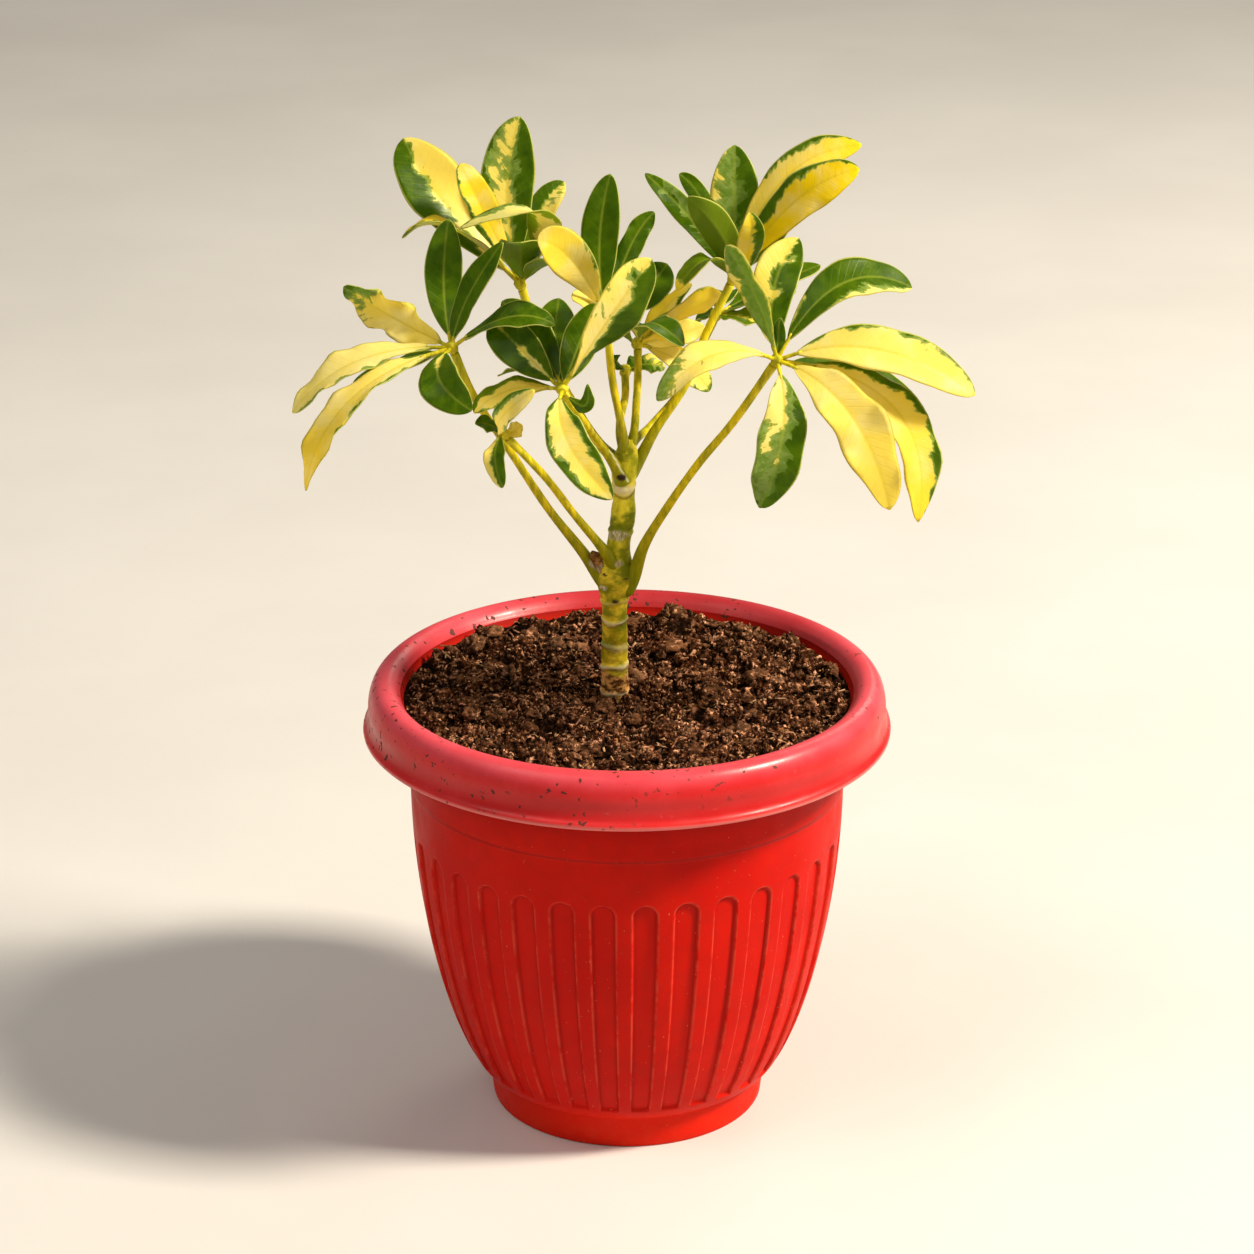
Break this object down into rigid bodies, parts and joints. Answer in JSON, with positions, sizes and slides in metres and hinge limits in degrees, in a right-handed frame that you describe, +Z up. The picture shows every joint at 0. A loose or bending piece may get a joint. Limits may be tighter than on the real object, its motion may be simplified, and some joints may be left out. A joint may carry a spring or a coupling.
{
  "type": "potted umbrella plant",
  "caption": "Small variegated umbrella plant with a single ringed trunk and palmate leaves on long stalks, growing in a round fluted plastic pot with a broad rolled rim and soil.",
  "frame": {"origin": "centre of the pot's flat underside, on the ground", "axes": "+Z up along the pot's axis; the viewer of the picture stands at -Y, so +X is to the viewer's right"},
  "size_m": [0.3703, 0.3, 0.5704],
  "materials": {
    "pot": "saturated red moulded plastic, satin on the body and glossier on the rim, with scuffs and pale specks",
    "soil": "dark brown crumbly potting soil, matte",
    "bark": "young bark, brown and dry at the foot, olive green above, with pale leaf-scar rings",
    "stalk": "smooth yellow-green leaf stalk",
    "leaf": "glossy leathery leaf, dark green variegated with cream and yellow"
  },
  "bodies": {
    "root": {"pot": "pot", "soil": "soil", "trunk": "bark", "stalk_left": "stalk", "leaflets_left": "leaf", "stalk_front": "stalk", "leaflets_front": "leaf", "stalk_upper_left": "stalk", "leaflets_upper_left": "leaf", "stalk_low_left": "stalk", "leaflets_low_left": "leaf", "stalk_middle": "stalk", "leaflets_middle": "leaf", "stalk_inner": "stalk", "leaflets_inner": "leaf", "stalk_young": "stalk", "leaflets_young": "leaf", "stalk_upper_right": "stalk", "leaflets_upper_right": "leaf", "stalk_right": "stalk", "leaflets_right": "leaf", "stalk_rear": "stalk", "leaflets_rear": "leaf"}
  },
  "joints": []
}
